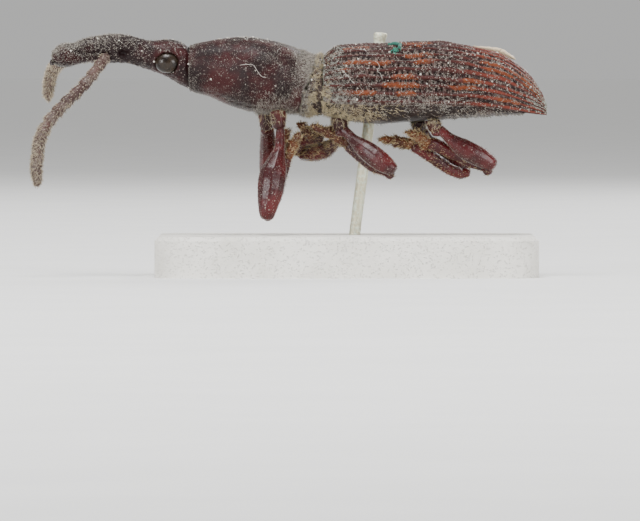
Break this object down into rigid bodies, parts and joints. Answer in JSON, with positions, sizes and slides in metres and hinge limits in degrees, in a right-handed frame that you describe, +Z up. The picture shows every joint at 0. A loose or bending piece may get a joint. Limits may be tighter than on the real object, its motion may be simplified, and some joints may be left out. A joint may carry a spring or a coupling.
{
  "type": "pinned straight-snouted weevil",
  "caption": "Dried straight-snouted weevil on its pin, set in a small flat display base, with long snout, beaded feelers, ridged wing cases and folded legs.",
  "frame": {"origin": "on the underside of the base, below the middle of the whole piece's bounding box", "axes": "+X from the snout to the tail, +Y to the animal's right side, +Z up along the stand"},
  "size_m": [0.019, 0.009, 0.0089],
  "materials": {
    "cuticle": "dark maroon horn, dusty, dull gloss",
    "wing_case": "dark maroon horn with orange stripes on raised ridges, dusty",
    "leg": "deep red-brown horn, glossy",
    "underside": "horn under short golden-grey pile",
    "feeler": "reddish horn with dense pale golden bristles",
    "foot": "reddish horn with orange-golden bristles",
    "eye": "glossy grey-brown",
    "pin": "old plated brass, pale, with a greenish crust",
    "base": "matte off-white"
  },
  "bodies": {
    "root": {"abdomen": "underside", "antenna_club_L": "feeler", "antenna_club_R": "feeler", "antenna_funicle_L": "feeler", "antenna_funicle_R": "feeler", "antenna_scape_L": "feeler", "antenna_scape_R": "feeler", "coxa_fore_L": "leg", "coxa_fore_R": "leg", "coxa_hind_L": "leg", "coxa_hind_R": "leg", "coxa_mid_L": "leg", "coxa_mid_R": "leg", "elytron_L": "wing_case", "elytron_R": "wing_case", "eye_L": "eye", "eye_R": "eye", "femur_fore_L": "leg", "femur_fore_R": "leg", "femur_hind_L": "leg", "femur_hind_R": "leg", "femur_mid_L": "leg", "femur_mid_R": "leg", "head": "cuticle", "mandible_L": "cuticle", "mandible_R": "cuticle", "mesothorax": "underside", "metathorax": "underside", "pronotum": "cuticle", "rostrum": "cuticle", "stand_base": "base", "stand_pin": "pin", "tarsus_fore_L": "foot", "tarsus_fore_R": "foot", "tarsus_hind_L": "foot", "tarsus_hind_R": "foot", "tarsus_mid_L": "foot", "tarsus_mid_R": "foot", "tibia_fore_L": "leg", "tibia_fore_R": "leg", "tibia_hind_L": "leg", "tibia_hind_R": "leg", "tibia_mid_L": "leg", "tibia_mid_R": "leg"}
  },
  "joints": []
}
